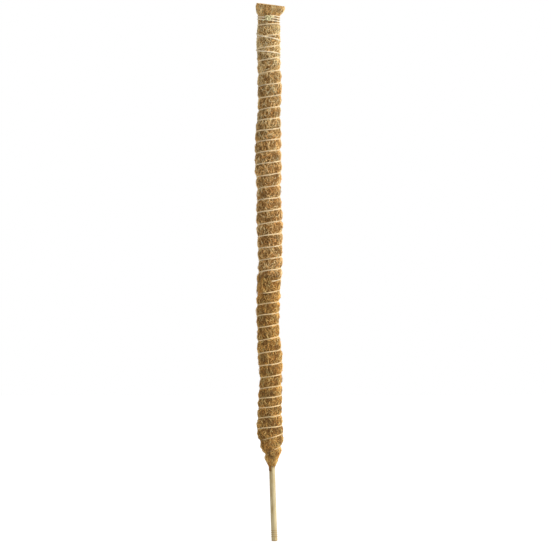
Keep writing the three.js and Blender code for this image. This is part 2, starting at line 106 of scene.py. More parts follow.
BULGE_FOOT = 8  # the bulges start this far above the coir's foot
BULGE_RUN = 10
LUMP = 0.5
LUMP_WAVE = 74
LUMPS_AROUND = 2
TIE_PULL = 1
COLLAR_LEAN = 0.8

# Waves of the pole: how far each reaches, its length, and where it is zero
SWAYS = [(1.05, 356, 50), (1.42, 205, 44), (1.09, 166, 64)]
DEPTH_SWAYS = [(1.2, 310, 0)]
SWELLS = [(1.15, 479, 476), (0.57, 161, 134), (0.53, 115, 42)]
DRIFTS = [(2, 34, 19.3), (3.3, 10.5, 0.9), (2.2, 8.73, 0.06)]  # of the winding, in turns

# Twine
TWINE_RADIUS = 1.1
TURN_PITCH = 19.24
WINDING_FOOT = 132.4
FRONT_EASE = 0.8  # how far a turn is lower on the right and higher on the left
NECK_EASE = -1.2
TOP_LIFT = 8  # how far the winding rises over its last run under the tie
TOP_LIFT_RUN = 30
NECK_LIFT = 3.6
LEAD_IN = 0.4375  # turn on which the winding comes out of the coir
LAP_TWINE = 7  # height above the lap's foot where the upper twine comes out
LAP_GAP = 0.375  # in turns, between the end of the lower twine and that place
LAST_PITCH = 5
LAST_TURNS = 0.5
TIE_TURNS = 2.25
TIE_PITCH = 4
TIE_SLANT = 1.5
TIE_SLANT_RUN = 0.5  # in turns
LACE_PITCH = 22.3  # of the tie's tail, which is laced down over the winding
LACE_EASE = 3.7
LACE_DROP = 11  # over its first turn, beyond the pitch
LACE_TURNS = 2.25
TIE_TOP = COIR_TOP - COLLAR_HEIGHT
TIE_FOOT = TIE_TOP - TIE_TURNS * TIE_PITCH
TIE_HIGH = TIE_TOP + 2 * TWINE_RADIUS
TIE_LOW = TIE_FOOT - 2 * TWINE_RADIUS
SEAT = 0.3  # middle of the twine above the bottom of its groove
NECK_SEAT = -0.2
CROSSING_SINK = 0.8  # the lower of two crossing twines is pressed into the coir
CROSSING_REACH = 2.6
TAIL_SINK = 0.4  # and so is the tie's tail
TAIL_SINK_RUN = 0.25  # in turns
TUCK_DEPTH = 3.0
TUCK_RUN = 0.05  # in turns
SLACKS = [(0.25, 0.37, 0), (0.2, 0.83, 0)]  # waves of the winding, in turns
TURN_STEP = 1 / 16
MOST_TURNS = 50  # more than the winding has
TIE_START = 0.02  # in turns
PLIES = 3
PLY_RADIUS = 0.56
PLY_OFFSET = 0.58
PLY_TWIST = 7.5
PLY_SWELLS = [(0.05, 3.1, 0), (0.05, 17, 0)]
PLY_SIDES = 5
PLY_STEP = 0.75
HAIR_SPACING = 3.0
HAIR_ROOT = 0.7
HAIR_RADIUS = 0.06
HAIR_TIP = 0.5  # share of its thickness that a hair of twine or coir keeps at its tip
KNOT_STAND = 3.0
KNOT_WIDTH = 1.9
KNOT_DEPTH = 1.3
KNOT_HEIGHT = 1.45
KNOT_TAILS = [  # reach and bend of each
    ([-8.5, -0.4, -3.2], [-1.2, 0.6, -1.8]),
    ([7.0, 0.2, 2.4], [2.0, 2.0, -0.6]),
]

# Loose coir
FOOT_CLEARANCE = 0.4  # between the cane and the last fibres on it
FOOT_BELOW = 6  # the coir closes on the cane between these, from its foot
FOOT_ABOVE = 4
TWINE_CLEAR = 0.5  # distances from a twine between which the coir rises to its full height
TWINE_FREE = 4
SUNK_BY_TWINE = 0.2  # depth of the matted coir under the pole's outline
SUNK = 1.0
SUNK_IN_COLLAR = 0.3
SUNK_COLLAR_RUN = 8  # it changes over this height above the tie
SUNK_FOOT_BELOW = 2  # and between these, from the coir's foot
SUNK_FOOT_ABOVE = 12

# Fineness
GRID_COLUMNS = 240
GRID_STEP = 0.5
GRID_BELOW = 40
GRID_ABOVE = 12
GRID_FOOT = COIR_FOOT - GRID_BELOW
GRID_TOP = COIR_TOP + GRID_ABOVE
CANE_COLUMNS = 48
RINGED_ROW = 0.3
BARE_ROW = 3
HIDDEN_ROW = 6
HIDDEN_FROM = 20  # above the coir's foot
MAT_COLUMNS = 120
MAT_ROW = 1.5
BORE_ROW = 12
FIBRE_POINTS = 6
FIBRE_SIDES = 3
HAIR_POINTS = 4
WINDING_POINTS = 160  # on a turn
TIE_POINTS = 900
KNOT_POINTS = 200
TAIL_POINTS = 30
FIBRE_SHARE = np.linspace(0, 1, FIBRE_POINTS)

# Cells of a texture map, in shares of a cell: the wall of a tube and the caps at its ends
CELL_SEGMENTS = 40
WALL_FOOT = 0.1
WALL_HEIGHT = 0.8
WALL_LEFT = 0.06
WALL_WIDTH = 0.88
CAP_MIDDLE = 0.5
CAP_HEIGHTS = (0.04, 0.96)
CAP_REACH = (0.4, 0.03)


# Shape of the pole

def wave(at, length, zero=0.0):
    return np.sin(TAU * (at - zero) / length)


def waves(at, terms):
    return sum(reach * wave(at, length, zero) for reach, length, zero in terms)


def smooth(value, low, high):
    share = np.clip((value - low) / (high - low), 0, 1)
    return share * share * (3 - 2 * share)


def between(low, high, share):
    return low + (high - low) * share


def cane_x(z):
    share = np.clip(1 - np.asarray(z) / CANE_BOW_HEIGHT, 0, 1)
    return -CANE_BOW * (1 - share * share)


def coir_axis(z):
    fade = smooth(z, COIR_FOOT, COIR_FOOT + NECK_LENGTH)
    pulled = smooth(z, TIE_FOOT - TIE_SHOULDER, TIE_FOOT)
    leaning = smooth(z, TIE_TOP, TIE_TOP + TIE_SHOULDER)
    lean = between(-TIE_PULL * pulled, COLLAR_LEAN, leaning)
    x = cane_x(z) + fade * waves(z, SWAYS) + lean
    return np.stack([x, fade * waves(z, DEPTH_SWAYS), z], axis=-1)


TOP_X, TOP_Y, _ = coir_axis(np.float64(COIR_TOP))


def girth(z):
    full = COIR_RADIUS + waves(z, SWELLS)
    neck_share = np.clip((z - COIR_FOOT) / NECK_LENGTH, 0, 1)
    body = NECK_RADIUS + (full - NECK_RADIUS) * np.sin(neck_share**NECK_FULLNESS * math.pi / 2)
    drawn_in = between(TIE_RADIUS, body, smooth(TIE_LOW - z, 0, TIE_SHOULDER))
    collar_share = np.clip((z - TIE_HIGH) / (COIR_TOP - TIE_HIGH), 0, 1)
    flare = np.sin(collar_share**COLLAR_FULLNESS * math.pi / 2)
    return drawn_in + (FLARE_RADIUS - TIE_RADIUS) * flare


# The main winding climbs to the right across the front. Turns are counted from its foot.
def winding_height(turn):
    even = WINDING_FOOT + TURN_PITCH * turn
    top_share = smooth(even, TIE_FOOT - TOP_LIFT_RUN, TIE_FOOT)
    neck_share = 1 - smooth(even, COIR_FOOT + NECK_LENGTH * 2 / 3, COIR_FOOT + NECK_LENGTH)
    ease = between(FRONT_EASE, NECK_EASE, neck_share)
    lift = TOP_LIFT * top_share + NECK_LIFT * neck_share
    return even + waves(turn, DRIFTS) + lift - ease * np.cos(TAU * turn)


# Height of the tie and of its tail, by the turns made since the close turns ended
def tie_height(turns):
    side = np.cos(TAU * turns)
    slanted = TIE_FOOT - TIE_SLANT * side * (1 - smooth(turns, 0, TIE_SLANT_RUN))
    ease = LACE_EASE * (1 - side) / 2
    laced = LACE_PITCH * turns + ease + LACE_DROP * smooth(turns, 0, 1)
    return slanted - np.where(turns > 0, laced, TIE_PITCH * turns)


LACE_FOOT = tie_height(LACE_TURNS)


def necked(z):
    return 1 - smooth(z, COIR_FOOT + NECK_LENGTH / 2, COIR_FOOT + NECK_LENGTH)


def bulge_depth(turn, z):
    uneven = 1 + BULGE_UNEVENNESS * wave(turn, BULGE_WAVE)
    laced = smooth(z, LACE_FOOT - TURN_PITCH, LACE_FOOT)
    tied = 1 - smooth(z, TIE_LOW - TIE_SHOULDER, TIE_LOW)
    gathered = smooth(z - COIR_FOOT - BULGE_FOOT, 0, BULGE_RUN)
    depth = between(between(BULGE, LACED_BULGE, laced), NECK_BULGE, necked(z))
    return uneven * depth * tied * gathered


# Height between a point and the next turn of the tie's tail at the same angle
def to_lace(angle, z):
    first = ((angle - FRONT) / TAU - TIE_TURNS) % 1
    heights = tie_height(first[:, None] + np.arange(math.ceil(LACE_TURNS)))
    return np.abs(heights - z[:, None]).min(axis=1)


# The coir's radius and the distance to the next twine, on a grid of angle and height
def coir_grids():
    heights = np.arange(GRID_FOOT, GRID_TOP, GRID_STEP)
    radius = np.zeros((GRID_COLUMNS, len(heights)))
    clear = np.zeros_like(radius)
    spare = 8
    turns = np.arange(-spare, (GRID_TOP - WINDING_FOOT) / TURN_PITCH + spare)
    loose = smooth(TIE_FOOT - heights, 0, TIE_SHOULDER) * smooth(heights - COIR_FOOT, 0, NECK_LENGTH)
    covered = smooth(heights, COIR_FOOT - FOOT_BELOW, COIR_FOOT + FOOT_ABOVE)
    on_cane = CANE_RADIUS + FOOT_CLEARANCE
    for column in range(GRID_COLUMNS):
        part = column / GRID_COLUMNS
        strands = winding_height(turns + part)
        index = np.searchsorted(strands, heights) - 1
        gap = strands[index + 1] - strands[index]
        share = np.clip((heights - strands[index]) / gap, 0, 1)
        crown = np.sqrt(np.sin(math.pi * share))
        groove = bulge_depth(turns[index] + part + share, heights) * (1 - crown)
        lump = LUMP * loose * np.sin(LUMPS_AROUND * TAU * part + wave(heights, LUMP_WAVE))
        radius[column] = between(on_cane, girth(heights) - groove + lump, covered)
        to_turn = np.minimum(share, 1 - share) * gap
        to_turn[heights > TIE_FOOT] = TURN_PITCH
        to_tie = np.maximum(TIE_FOOT - heights, heights - TIE_TOP)
        to_tail = to_lace(np.full(len(heights), TAU * part), heights)
        to_tail[heights < LACE_FOOT - TURN_PITCH] = TURN_PITCH
        clear[column] = np.clip(np.minimum(np.minimum(to_turn, to_tie), to_tail), 0, None)
    return radius, clear


radius_grid, clear_grid = coir_grids()


# Value of a grid at any angle and height. The last row is left out, so that each has one above it.
def sampled(grid, angle, z):
    column = (angle / TAU * GRID_COLUMNS) % GRID_COLUMNS
    short_of_end = 1.001
    row = np.clip((z - GRID_FOOT) / GRID_STEP, 0, grid.shape[1] - short_of_end)
    left = np.floor(column).astype(int) % GRID_COLUMNS
    low = np.floor(row).astype(int)
    right = (left + 1) % GRID_COLUMNS
    aside = column - np.floor(column)
    lower = between(grid[left, low], grid[right, low], aside)
    upper = between(grid[left, low + 1], grid[right, low + 1], aside)
    return between(lower, upper, row - low)


def placed(angle, radius, z):
    point = coir_axis(z)
    point[..., 0] += radius * np.cos(angle)
    point[..., 1] += radius * np.sin(angle)
    return point


# Height of the cut top, which falls to the right and to the front
def top_height(x, y):
    fall = TOP_SLANT * (x - TOP_X) - TOP_FRONT_FALL * (y - TOP_Y)
    return TOP_MIDDLE - fall / (2 * FLARE_RADIUS)


# Share to which the coir is free of the twine that presses it down
def freed(angle, z):
    return smooth(sampled(clear_grid, angle, z), TWINE_CLEAR, TWINE_FREE)


# How far the matted coir lies under the pole's outline, which the loose fibres fill out
def sunk(angle, z):
    body = between(SUNK_BY_TWINE, SUNK, freed(angle, z))
    collar = smooth(z, TIE_TOP, TIE_TOP + SUNK_COLLAR_RUN)
    covered = smooth(z, COIR_FOOT - SUNK_FOOT_BELOW, COIR_FOOT + SUNK_FOOT_ABOVE)
    return between(body, SUNK_IN_COLLAR, collar) * covered


# Waves over the coir, from about -1 to 1
def patches(angle, z, seed, shortest, longest):
    dice = np.random.default_rng(seed)
    count = 7
    most_around = 5
    total = 0
    for _ in range(count):
        around = dice.integers(-most_around, most_around + 1)
        length = dice.uniform(shortest, longest)
        total = total + np.sin(around * angle + TAU * z / length + dice.uniform(0, TAU))
    return total / math.sqrt(count)


# Meshes

def mesh_piece(name, points, faces, corner_uv, material, slot):
    mesh = bpy.data.meshes.new(name)
    corners = np.concatenate([group.ravel() for group in faces])
    sizes = np.concatenate([np.full(len(group), group.shape[1]) for group in faces])
    starts = np.concatenate([[0], np.cumsum(sizes)[:-1]])
    mesh.vertices.add(len(points))
    mesh.vertices.foreach_set("co", (points * MM).astype(np.float32).ravel())
    mesh.loops.add(len(corners))
    mesh.loops.foreach_set("vertex_index", corners.astype(np.int32))
    mesh.polygons.add(len(sizes))
    mesh.polygons.foreach_set("loop_start", starts.astype(np.int32))
    mesh.polygons.foreach_set("use_smooth", np.ones(len(sizes), dtype=bool))
    if corner_uv is not None:
        layer = mesh.uv_layers.new(name="OFBake")
        layer.data.foreach_set("uv", corner_uv.astype(np.float32).ravel())
    mesh.update(calc_edges=True)
    mesh.validate()
    mesh.materials.append(material)
    piece = bpy.data.objects.new(name, mesh)
    bpy.context.scene.collection.objects.link(piece)
    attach(piece, "root")
    return piece


# Rings of points joined into one closed skin: the last ring meets the first, or both ends are capped
def skin(rings, joined_ends):
    count = len(rings)
    columns = len(rings[0])
    column = np.arange(columns)
    following = (column + 1) % columns
    walls = []
    for ring in range(count if joined_ends else count - 1):
        here = ring * columns
        there = (ring + 1) % count * columns
        corners = [here + column, here + following, there + following, there + column]
        walls.append(np.stack(corners, axis=1))
    faces = [np.concatenate(walls)]
    if not joined_ends:
        faces.append(np.stack([column[::-1], (count - 1) * columns + column]))
    return np.concatenate(rings), faces, None


# Directions at the points of many paths: along them, outward from the pole, and sideways
def path_frames(paths):
    along = np.gradient(paths, axis=1)
    along /= np.linalg.norm(along, axis=2, keepdims=True)
    out = paths - coir_axis(paths[..., 2])
    out[..., 2] = 0
    out -= along * np.sum(out * along, axis=2, keepdims=True)
    least = 1e-6
    out /= np.maximum(np.linalg.norm(out, axis=2, keepdims=True), least)
    return along, out, np.cross(along, out)


# Places in the texture map for tubes: each length of a tube has a cell of its own
def tube_uv(count, segments, sides):
    cell_segments = min(segments, CELL_SEGMENTS)
    cells_each = math.ceil(segments / cell_segments)
    cells_across = math.ceil(math.sqrt(count * cells_each))
    segment = np.arange(segments)
    cell = np.arange(count)[:, None] * cells_each + segment // cell_segments
    low = WALL_FOOT + WALL_HEIGHT * (segment % cell_segments) / cell_segments
    high = low + WALL_HEIGHT / cell_segments
    left = WALL_LEFT + WALL_WIDTH * np.arange(sides) / sides
    right = left + WALL_WIDTH / sides
    walls = np.zeros((count, segments, sides, 4, 2))
    column = (cell % cells_across)[:, :, None, None]
    row = (cell // cells_across)[:, :, None, None]
    walls[..., 0] = column + np.stack([left, right, right, left], axis=-1)
    walls[..., 1] = row + np.stack([low, low, high, high], axis=-1)[:, None]
    turn = TAU * np.arange(sides) / sides
    circle = np.stack([np.cos(turn), np.sin(turn)], axis=-1)
    parts = [walls.reshape(-1, 2)]
    for end_cell, height in zip((cell[:, 0], cell[:, -1]), CAP_HEIGHTS):
        corner = np.stack([end_cell % cells_across, end_cell // cells_across], axis=-1)
        rim = np.array([CAP_MIDDLE, height]) + CAP_REACH * circle
        parts.append((corner[:, None] + rim).reshape(-1, 2))
    return np.concatenate(parts) / cells_across


# Closed tubes along many paths of equally many points
def tubes(paths, radii, sides):
    count, steps = paths.shape[:2]
    _, out, aside = path_frames(paths)
    turn = TAU * np.arange(sides) / sides
    spokes = np.cos(turn)[:, None] * out[:, :, None] + np.sin(turn)[:, None] * aside[:, :, None]
    points = paths[:, :, None] + radii[:, :, None, None] * spokes
    index = np.arange(count * steps * sides).reshape(count, steps, sides)
    following = np.roll(index, -1, axis=2)
    walls = np.stack([index[:, :-1], following[:, :-1], following[:, 1:], index[:, 1:]], axis=-1)
    faces = [walls.reshape(-1, 4), index[:, 0, ::-1], index[:, -1]]
    return points.reshape(-1, 3), faces, tube_uv(count, steps - 1, sides)


# Several lots of tubes as one mesh, side by side in the texture map
def joined(lots):
    points = []
    faces = []
    corner_uv = []
    start = 0
    for number, (lot_points, lot_faces, lot_uv) in enumerate(lots):
        faces.extend(group + start for group in lot_faces)
        points.append(lot_points)
        corner_uv.append((lot_uv + [number, 0]) / [len(lots), 1])
        start += len(lot_points)
    return np.concatenate(points), faces, np.concatenate(corner_uv)


# Materials

# Levels from 0 to 255 as a linear colour, by the sRGB curve. One that is too pale keeps its hue.
def linear(red, green, blue):
    share = np.array([red, green, blue]) / max(255, red, green, blue)
    levels = np.where(share <= 0.04045, share / 12.92, ((share + 0.055) / 1.055) ** 2.4)
    return (*levels.tolist(), 1)


# Stops of a ramp: shades of one colour, each at its place
def shaded(colour, shades):
    return [(place, linear(*(level * shade for level in colour))) for place, shade in shades]


def blank_material(name):
    material = bpy.data.materials.new(name)
    material.use_nodes = True
    return material, material.node_tree.nodes, material.node_tree.links


def noise_node(nodes, links, detail, scale=1, stretch=(1, 1, 1)):
    place = nodes.new("ShaderNodeTexCoord")
    mapping = nodes.new("ShaderNodeMapping")
    mapping.inputs["Scale"].default_value = stretch
    noise = nodes.new("ShaderNodeTexNoise")
    noise.inputs["Scale"].default_value = scale
    noise.inputs["Detail"].default_value = detail
    links.new(place.outputs["Object"], mapping.inputs["Vector"])
    links.new(mapping.outputs["Vector"], noise.inputs["Vector"])
    return noise


def ramp_node(nodes, links, source, stops):
    ramp = nodes.new("ShaderNodeValToRGB")
    elements = ramp.color_ramp.elements
    while len(elements) < len(stops):
        elements.new(0.5)
    for element, (position, colour) in zip(elements, stops):
        element.position = position
        element.color = colour
    links.new(source, ramp.inputs["Fac"])
    return ramp


def add_surface(nodes, links, source, roughness, strength, depth):
    shader = nodes["Principled BSDF"]
    level = nodes.new("ShaderNodeMapRange")
    level.inputs["To Min"].default_value = roughness[0]
    level.inputs["To Max"].default_value = roughness[1]
    links.new(source, level.inputs["Value"])
    links.new(level.outputs["Result"], shader.inputs["Roughness"])
    bump = nodes.new("ShaderNodeBump")
    bump.inputs["Strength"].default_value = strength
    bump.inputs["Distance"].default_value = depth
    links.new(source, bump.inputs["Height"])
    links.new(bump.outputs["Normal"], shader.inputs["Normal"])


# A natural fibre: three tones in soft patches, dull, with a fine grain
def fibre_material(name, colour, patch, grain):
    material, nodes, links = blank_material(name)
    shader = nodes["Principled BSDF"]
    shader.inputs["Specular IOR Level"].default_value = 0.55
    tone = noise_node(nodes, links, detail=4, scale=patch)
    stops = shaded(colour, [(0.3, 0.82), (0.5, 1.0), (0.7, 1.13)])
    ramp = ramp_node(nodes, links, tone.outputs["Fac"], stops)
    links.new(ramp.outputs["Color"], shader.inputs["Base Color"])
    fine = noise_node(nodes, links, detail=3, scale=grain)
    add_surface(nodes, links, fine.outputs["Fac"], roughness=(0.65, 0.95), strength=0.4, depth=0.0002)
    return material


# Matted coir: fine crooked strands in three tones, most of them running up the pole
def matted_material(name, colour):
    material, nodes, links = blank_material(name)
    shader = nodes["Principled BSDF"]
    shader.inputs["Specular IOR Level"].default_value = 0.2
    strands = noise_node(nodes, links, detail=4, stretch=(900, 900, 190))
    strands.inputs["Distortion"].default_value = 1.6
    stops = shaded(colour, [(0.36, 0.6), (0.5, 1.0), (0.64, 1.36)])
    ramp = ramp_node(nodes, links, strands.outputs["Fac"], stops)
    links.new(ramp.outputs["Color"], shader.inputs["Base Color"])
    add_surface(nodes, links, strands.outputs["Fac"], roughness=(0.75, 0.95), strength=0.9, depth=0.0008)
    return material


UNSTAINED = (255, 255, 255)
STAIN = (222, 206, 172)


# Bamboo: fine streaks up the cane under larger stains
def bamboo_material(name, colour):
    material, nodes, links = blank_material(name)
    shader = nodes["Principled BSDF"]
    streaks = noise_node(nodes, links, detail=5, stretch=(2000, 2000, 22))
    stops = shaded(colour, [(0.3, 0.87), (0.5, 1.0), (0.72, 1.1)])
    ramp = ramp_node(nodes, links, streaks.outputs["Fac"], stops)
    blotches = noise_node(nodes, links, detail=3, scale=60, stretch=(3, 3, 0.6))
    stains = [(0.45, linear(*UNSTAINED)), (0.68, linear(*STAIN))]
    stain = ramp_node(nodes, links, blotches.outputs["Fac"], stains)
    mixed = nodes.new("ShaderNodeMix")
    mixed.data_type = "RGBA"
    mixed.blend_type = "MULTIPLY"
    mixed.inputs["Factor"].default_value = 1
    links.new(ramp.outputs["Color"], mixed.inputs["A"])
    links.new(stain.outputs["Color"], mixed.inputs["B"])
    links.new(mixed.outputs["Result"], shader.inputs["Base Color"])
    add_surface(nodes, links, streaks.outputs["Fac"], roughness=(0.36, 0.6), strength=0.2, depth=0.00008)
    return material


BAMBOO = bamboo_material("bamboo", (193, 176, 132))
BAMBOO_RING = bamboo_material("bamboo_ring", (170, 142, 94))
# The matted coir's dark brown is partly its own colour and partly painted shade for the shadowed gaps
# between the loose fibres over it.
MATTED_PAINTED_SHADE = matted_material("coir_matted_painted_shade", (126, 90, 44))
TINT_COLOURS = {
    "umber": (158, 116, 60),
    "russet": (212, 153, 84),
    "brown": (228, 179, 109),
    "golden": (243, 200, 130),
    "straw": (255, 226, 170),
}
PART_TONES = {"lower": (0.96, 0.935, 0.8), "middle": (1.05, 1.065, 1.06), "upper": (1.07, 1.12, 1.17)}
LOWER_TWINE = fibre_material("twine_lower", (232, 205, 155), patch=160, grain=1500)
UPPER_TWINE = fibre_material("twine_upper", (235, 212, 169), patch=160, grain=1500)
TIE_TWINE = fibre_material("twine_tie", (243, 225, 190), patch=160, grain=1500)
KNOT_TWINE = fibre_material("twine_knot", (228, 217, 168), patch=300, grain=1500)


# Cane

def ring_heights():
    heights = [FOOT_RING_HEIGHT + FOOT_RING_SPACING * i for i in range(FOOT_RING_COUNT)]
    heights.extend(np.arange(heights[-1] + NODE_SPACING, CANE_TOP - NODE_SPACING / 2, NODE_SPACING))
    return np.array(heights)


# Pairs of radius and height up the cane, from the hollow in its cut foot
def cane_profile():
    flat = CANE_RADIUS - FOOT_CHAMFER
    profile = [*FOOT_HOLLOW, (flat - FOOT_RIM, 0.0)]
    for bend in CHAMFER_SHARES * math.pi / 2:
        profile.append((flat + FOOT_CHAMFER * math.sin(bend), FOOT_CHAMFER * (1 - math.cos(bend))))
    rings_end = FOOT_RING_HEIGHT + FOOT_RING_COUNT * FOOT_RING_SPACING
    ringed = np.arange(FOOT_CHAMFER, rings_end, RINGED_ROW)
    bare = np.arange(ringed[-1] + BARE_ROW, COIR_FOOT + HIDDEN_FROM, BARE_ROW)
    hidden = np.arange(bare[-1] + HIDDEN_ROW, CANE_TOP, HIDDEN_ROW)
    for z in np.concatenate([ringed, bare, hidden, [CANE_TOP]]):
        off = (z - ring_heights()) / RING_WIDTH
        ridges = RING_RISE * np.exp(-RING_SHARPNESS * off**2)
        grooves = GROOVE_DEPTH * np.exp(-GROOVE_SHARPNESS * (np.abs(off) - GROOVE_PLACE) ** 2)
        profile.append((CANE_RADIUS + (ridges - grooves).sum(), z))
    return profile


def make_cane():
    angle = TAU * np.arange(CANE_COLUMNS) / CANE_COLUMNS
    rings = []
    marks = []
    for radius, z in cane_profile():
        oval = CANE_OVAL * np.cos(2 * angle + CANE_TWIST * z)
        uneven = 1 + oval + CANE_LOBES * np.cos(LOBE_COUNT * angle + LOBE_TURN)
        x = cane_x(z) + radius * uneven * np.cos(angle)
        rings.append(np.stack([x, radius * uneven * np.sin(angle), np.full(CANE_COLUMNS, z)], axis=1))
        to_ring = np.abs(z - ring_heights()).min()
        marks.append(z < STAINED_CHAMFER * FOOT_CHAMFER or to_ring < STAINED_RING * RING_WIDTH)
    cane = mesh_piece("bamboo", *skin(rings, False), BAMBOO, "bamboo")
    cane.data.materials.append(BAMBOO_RING)
    marked = np.append(np.repeat(marks[:-1], CANE_COLUMNS), [True, False])
    cane.data.polygons.foreach_set("material_index", marked.astype(np.int32))
    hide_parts("bamboo_cane")


make_cane()


# Matted coir under the loose fibres. Its dark brown is partly its own colour and partly painted shade in
# the gaps between those fibres.

MAT_DEPTH = 0.4
COARSE_FUZZ = 0.35
COARSE_AROUND = 3
FINE_FUZZ = 0.25
FINE_AROUND = 9
CUT_DEPTH = 0.5
CUT_ROUGHNESS = 0.4
CUT_STRETCH = 3
RIM_INSET = 0.8
RIM_DEPTH = 0.6
RIM_SHARES = (0.35, 0.7, 1)
CUT_RADII = (FLARE_RADIUS - 2 * RIM_INSET, 19, 16, 13, CORE_RADIUS + FIT_GAP)
LEAST_RADIUS = 0.6  # of the rings that close the core
CORE_RADII = (CORE_RADIUS - LEAST_RADIUS, 7.5, 5, 2.5, LEAST_RADIUS)
LAP_FRAY = 1.5  # depth of the lap's ragged edge under its top
LAP_EDGE = 6
LAP_LIP = 1
mat_angle = TAU * np.arange(MAT_COLUMNS) / MAT_COLUMNS


def outer_ring(z):
    height = np.broadcast_to(np.asarray(z, dtype=float), mat_angle.shape)
    coarse = COARSE_FUZZ * patches(COARSE_AROUND * mat_angle, height, seed=5, shortest=5, longest=14)
    fine = FINE_FUZZ * patches(FINE_AROUND * mat_angle, height, seed=6, shortest=3, longest=8)
    radius = sampled(radius_grid, mat_angle, height) - sunk(mat_angle, height) - MAT_DEPTH
    return placed(mat_angle, radius + (coarse + fine) * freed(mat_angle, height), height)


def bore_ring(radius, z):
    x = cane_x(z) + radius * np.cos(mat_angle)
    return np.stack([x, radius * np.sin(mat_angle), np.full(MAT_COLUMNS, z)], axis=1)


# A ring on the cut top, or some depth under it
def top_ring(radius, depth):
    x = TOP_X + radius * np.cos(mat_angle)
    y = TOP_Y + radius * np.sin(mat_angle)
    inward = np.full(MAT_COLUMNS, CUT_STRETCH * radius)
    rough = CUT_ROUGHNESS * patches(mat_angle, inward, seed=9, shortest=7, longest=20)
    return np.stack([x, y, top_height(x, y) - CUT_DEPTH - depth + rough], axis=1)


def bore_rings(radius, low, high):
    count = math.ceil((high - low) / BORE_ROW) + 1
    return [bore_ring(radius, z) for z in np.linspace(low, high, count)]


def lower_mat_rings():
    ragged = patches(mat_angle, np.zeros(MAT_COLUMNS), seed=11, shortest=50, longest=90)
    edge = LAP_TOP - LAP_FRAY + ragged
    rings = [outer_ring(z) for z in np.arange(COIR_FOOT, LAP_TOP - LAP_EDGE, MAT_ROW)]
    rings.append(outer_ring((LAP_TOP - LAP_EDGE + edge) / 2))
    rings.append(outer_ring(edge))
    rings.append(bore_ring(LAP_RADIUS, LAP_TOP - LAP_LIP))
    rings.append(bore_ring(LAP_RADIUS, LAP_FOOT))
    rings.extend(bore_rings(CORE_RADIUS + FIT_GAP, CORE_FOOT - FIT_GAP, LAP_FOOT)[::-1])
    rings.extend(bore_rings(BORE_RADIUS, COIR_FOOT, CORE_FOOT - FIT_GAP)[::-1])
    return rings


def upper_mat_rings():
    rings = [outer_ring(z) for z in np.arange(LAP_TOP + FIT_GAP, COLLAR_END, MAT_ROW)]
    last = rings[-1]
    rim = top_ring(FLARE_RADIUS - RIM_INSET, RIM_DEPTH)
    rings.extend(between(last, rim, share) for share in RIM_SHARES)
    rings.extend(top_ring(radius, 0) for radius in CUT_RADII)
    rings.extend(bore_rings(CORE_RADIUS + FIT_GAP, LAP_FOOT + FIT_GAP, COLLAR_END - CORE_DISH)[::-1])
    rings.append(bore_ring(LAP_RADIUS - FIT_GAP, LAP_FOOT + FIT_GAP))
    rings.append(bore_ring(LAP_RADIUS - FIT_GAP, LAP_TOP + FIT_GAP))
    return rings


def core_rings():
    rings = [bore_ring(LEAST_RADIUS, CANE_TOP + FIT_GAP)]
    rings.extend(bore_rings(BORE_RADIUS, CORE_FOOT, CANE_TOP + FIT_GAP)[::-1])
    rings.extend(bore_rings(CORE_RADIUS, CORE_FOOT, COLLAR_END - CORE_DISH))
    rings.extend(top_ring(radius, CORE_DISH) for radius in CORE_RADII)
    return rings


def padded_coir(name, rings, joined_ends, slot, node):
    piece = mesh_piece(name, *skin(rings, joined_ends), MATTED_PAINTED_SHADE, slot)
    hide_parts(node)


padded_coir("lower_coir", lower_mat_rings(), True, "coir_outer", "lower_coir_mat")
padded_coir("upper_coir", upper_mat_rings(), True, "coir_outer", "upper_coir_mat")
padded_coir("core_coir", core_rings(), False, "coir_inner", "coir_core")


# Loose fibres: paths, radii and tint numbers, gathered until they are made into pieces

TINT_LIMITS = [0.25, 0.36, 0.58, 0.86]  # palenesses where one tint ends and the next begins
PALENESS = 0.5
PALENESS_SPREAD = 0.29
PALENESS_PATCHES = 0.08
# Paleness by a fibre's lift over the mat: painted light on raised fibres and painted shade on low ones
PAINTED_LIGHT_BY_LIFT = 0.22
USUAL_LIFT = 0.6
BLEACH = 0.28  # the coir is paler under the tie
BLEACH_FROM = 130  # distances under the tie where that begins and is full
BLEACH_FULL = 30
BLEACH_END = 6  # height above the tie where it has ended
SWING = 0.18  # of a fibre to both sides, in radians
RIPPLES = 1.4
LEAST_AROUND = 6  # least radius on which fibres bend round the pole
ARCH_POWER = 0.7
PRESS_LEAST = 0.1  # share of its height that a fibre keeps at a twine
PRESS_CLEAR = 0.8  # distances from the twine where the press begins to ease and has ended
PRESS_FREE = 4.2
FOOT_LOOSENESS = 0.1  # share of its height that a fibre keeps at the coir's foot
FOOT_RUN = 16
LOCK_MEMBERS = 4
LOCK_MIXING = [-1, 0, 0, 0, 1]  # steps between the tints in a lock
LOCK_THICKNESS = (0.14, 0.26)
CUT_REACH = FLARE_RADIUS - 1
fibre_lots = []


# Number of each fibre's tint, from 0, the darkest. Fibres that lie higher are paler and those that lie
# lower are darker: painted light and shade.
def tint_numbers(angle, z, lift, pale=0.0):
    under_tie = smooth(z, TIE_FOOT - BLEACH_FROM, TIE_FOOT - BLEACH_FULL)
    bleached = BLEACH * (under_tie - smooth(z, TIE_TOP, TIE_TOP + BLEACH_END))
    patched = PALENESS_PATCHES * patches(angle, z, seed=31, shortest=25, longest=110)
    value = PALENESS + pale + bleached + patched + PAINTED_LIGHT_BY_LIFT * (lift - USUAL_LIFT)
    return np.digitize(value + rng.normal(0, PALENESS_SPREAD, len(angle)), TINT_LIMITS)


